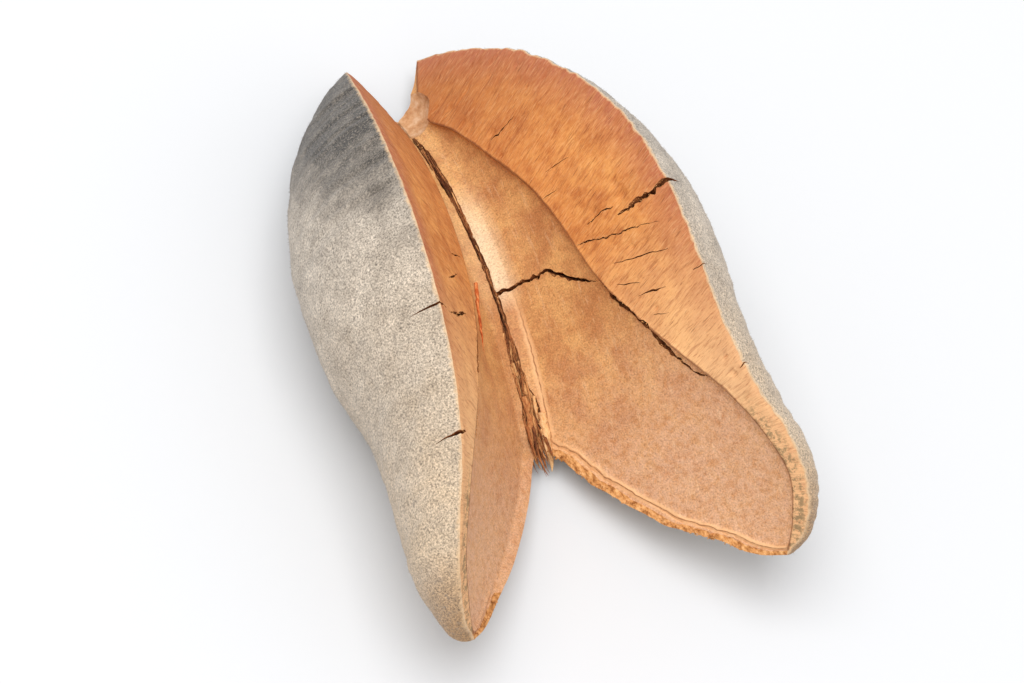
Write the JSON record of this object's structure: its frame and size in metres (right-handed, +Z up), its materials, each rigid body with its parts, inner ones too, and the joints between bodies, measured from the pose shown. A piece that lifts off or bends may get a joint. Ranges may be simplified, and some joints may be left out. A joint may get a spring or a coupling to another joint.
{
  "type": "woody pear pod",
  "caption": "Dried woody fruit split open into two thick valves that still hold together along the back, with a shallow seed bed in each face.",
  "frame": {"origin": "centre of the bounding box's footprint, on the surface that the pod lies on", "axes": "+Z up, out of the open split; +Y towards the stem end, along the hinge; +X across, towards the right valve"},
  "size_m": [0.0534, 0.0842, 0.0348],
  "materials": {
    "woody_fruit_wall": "grey felted bark outside, raw orange-brown fibrous wood on the split faces, tan satin lining in the seed beds"
  },
  "bodies": {
    "root": {"pod": "woody_fruit_wall"}
  },
  "joints": []
}
